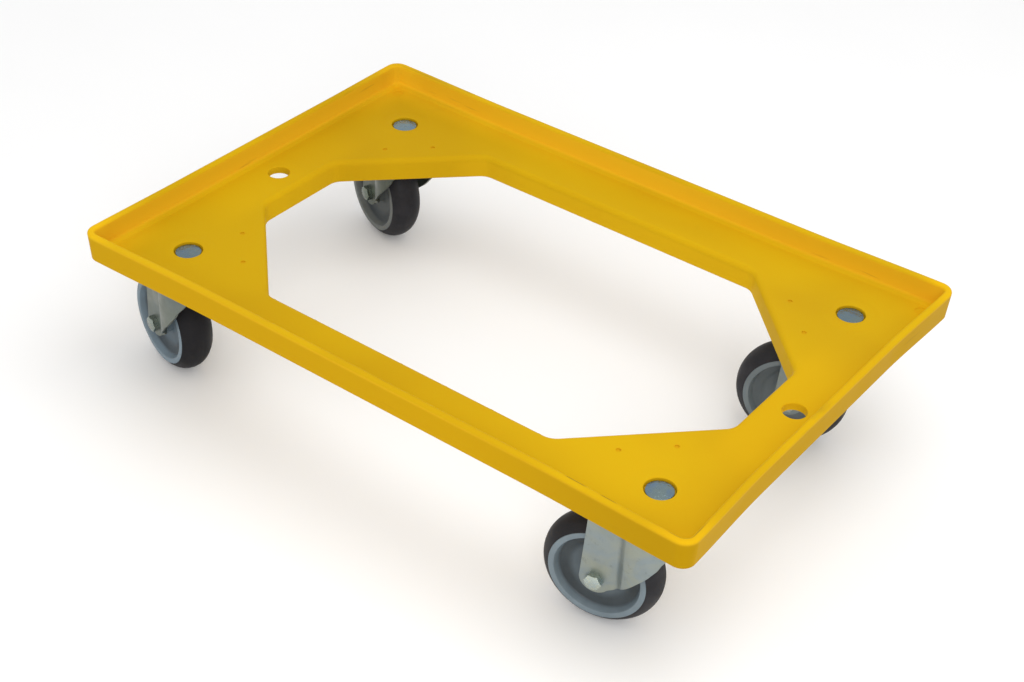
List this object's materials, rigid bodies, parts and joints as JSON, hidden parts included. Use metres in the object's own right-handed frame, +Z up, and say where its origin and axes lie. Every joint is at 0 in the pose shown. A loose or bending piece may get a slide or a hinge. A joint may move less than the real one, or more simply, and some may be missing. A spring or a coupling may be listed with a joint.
{
  "type": "crate dolly",
  "caption": "Low dolly with an open moulded deck whose rim holds a 600 x 400 mm stacking crate, on swivel castors with rubber-tyred wheels.",
  "frame": {"origin": "middle of the deck's flat top, halfway between the tow holes", "axes": "+X along the deck to the right end in the picture, +Y across it to the far side, +Z up; the castors trail towards -X"},
  "size_m": [0.6396, 0.414, 0.165],
  "materials": {
    "deck_plastic": "satin injection-moulded plastic in golden yellow",
    "zinc": "pressed steel, bright zinc plated, dulled",
    "fastener_zinc": "blue-white zinc plated steel",
    "steel": "turned plain steel",
    "ball_steel": "polished bearing steel",
    "hub_plastic": "blue-grey moulded plastic",
    "tyre_rubber": "dark brown-grey thermoplastic rubber, matt"
  },
  "bodies": {
    "deck_frame": {"deck": "deck_plastic", "castor_bolts": "fastener_zinc", "castor_washers": "fastener_zinc", "castor_nuts": "fastener_zinc", "swivel_cap_front_left": "zinc", "swivel_cap_front_right": "zinc", "swivel_cap_back_right": "zinc", "swivel_cap_back_left": "zinc", "lower_cup_front_left": "zinc", "lower_cup_front_right": "zinc", "lower_cup_back_right": "zinc", "lower_cup_back_left": "zinc", "king_pin_front_left": "steel", "king_pin_front_right": "steel", "king_pin_back_right": "steel", "king_pin_back_left": "steel", "lower_balls_front_left": "ball_steel", "lower_balls_front_right": "ball_steel", "lower_balls_back_right": "ball_steel", "lower_balls_back_left": "ball_steel", "upper_balls_front_left": "ball_steel", "upper_balls_front_right": "ball_steel", "upper_balls_back_right": "ball_steel", "upper_balls_back_left": "ball_steel"},
    "castor_fork_front_left": {"fork_front_left": "zinc", "axle_sleeve_front_left": "steel", "axle_bolt_front_left": "fastener_zinc", "axle_nut_front_left": "fastener_zinc"},
    "castor_wheel_front_left": {"hub_front_left": "hub_plastic", "tyre_front_left": "tyre_rubber"},
    "castor_fork_front_right": {"fork_front_right": "zinc", "axle_sleeve_front_right": "steel", "axle_bolt_front_right": "fastener_zinc", "axle_nut_front_right": "fastener_zinc"},
    "castor_wheel_front_right": {"hub_front_right": "hub_plastic", "tyre_front_right": "tyre_rubber"},
    "castor_fork_back_right": {"fork_back_right": "zinc", "axle_sleeve_back_right": "steel", "axle_bolt_back_right": "fastener_zinc", "axle_nut_back_right": "fastener_zinc"},
    "castor_wheel_back_right": {"hub_back_right": "hub_plastic", "tyre_back_right": "tyre_rubber"},
    "castor_fork_back_left": {"fork_back_left": "zinc", "axle_sleeve_back_left": "steel", "axle_bolt_back_left": "fastener_zinc", "axle_nut_back_left": "fastener_zinc"},
    "castor_wheel_back_left": {"hub_back_left": "hub_plastic", "tyre_back_left": "tyre_rubber"}
  },
  "joints": [
    {"name": "swivel_front_left", "type": "hinge", "parent": "deck_frame", "child": "castor_fork_front_left", "pos_m": [-0.245, -0.145, -0.014], "axis": [0, 0, 1], "continuous": true},
    {"name": "wheel_spin_front_left", "type": "hinge", "parent": "castor_fork_front_left", "child": "castor_wheel_front_left", "pos_m": [-0.2817, -0.13517, -0.092], "axis": [-0.2588, -0.9659, 0], "continuous": true},
    {"name": "swivel_front_right", "type": "hinge", "parent": "deck_frame", "child": "castor_fork_front_right", "pos_m": [0.245, -0.145, -0.014], "axis": [0, 0, 1], "continuous": true},
    {"name": "wheel_spin_front_right", "type": "hinge", "parent": "castor_fork_front_right", "child": "castor_wheel_front_right", "pos_m": [0.20783, -0.1529, -0.092], "axis": [0.2079, -0.9781, 0], "continuous": true},
    {"name": "swivel_back_right", "type": "hinge", "parent": "deck_frame", "child": "castor_fork_back_right", "pos_m": [0.245, 0.145, -0.014], "axis": [0, 0, 1], "continuous": true},
    {"name": "wheel_spin_back_right", "type": "hinge", "parent": "castor_fork_back_right", "child": "castor_wheel_back_right", "pos_m": [0.20886, 0.13326, -0.092], "axis": [0.309, -0.9511, 0], "continuous": true},
    {"name": "swivel_back_left", "type": "hinge", "parent": "deck_frame", "child": "castor_fork_back_left", "pos_m": [-0.245, 0.145, -0.014], "axis": [0, 0, 1], "continuous": true},
    {"name": "wheel_spin_back_left", "type": "hinge", "parent": "castor_fork_back_left", "child": "castor_wheel_back_left", "pos_m": [-0.28071, 0.158, -0.092], "axis": [-0.342, -0.9397, 0], "continuous": true}
  ]
}
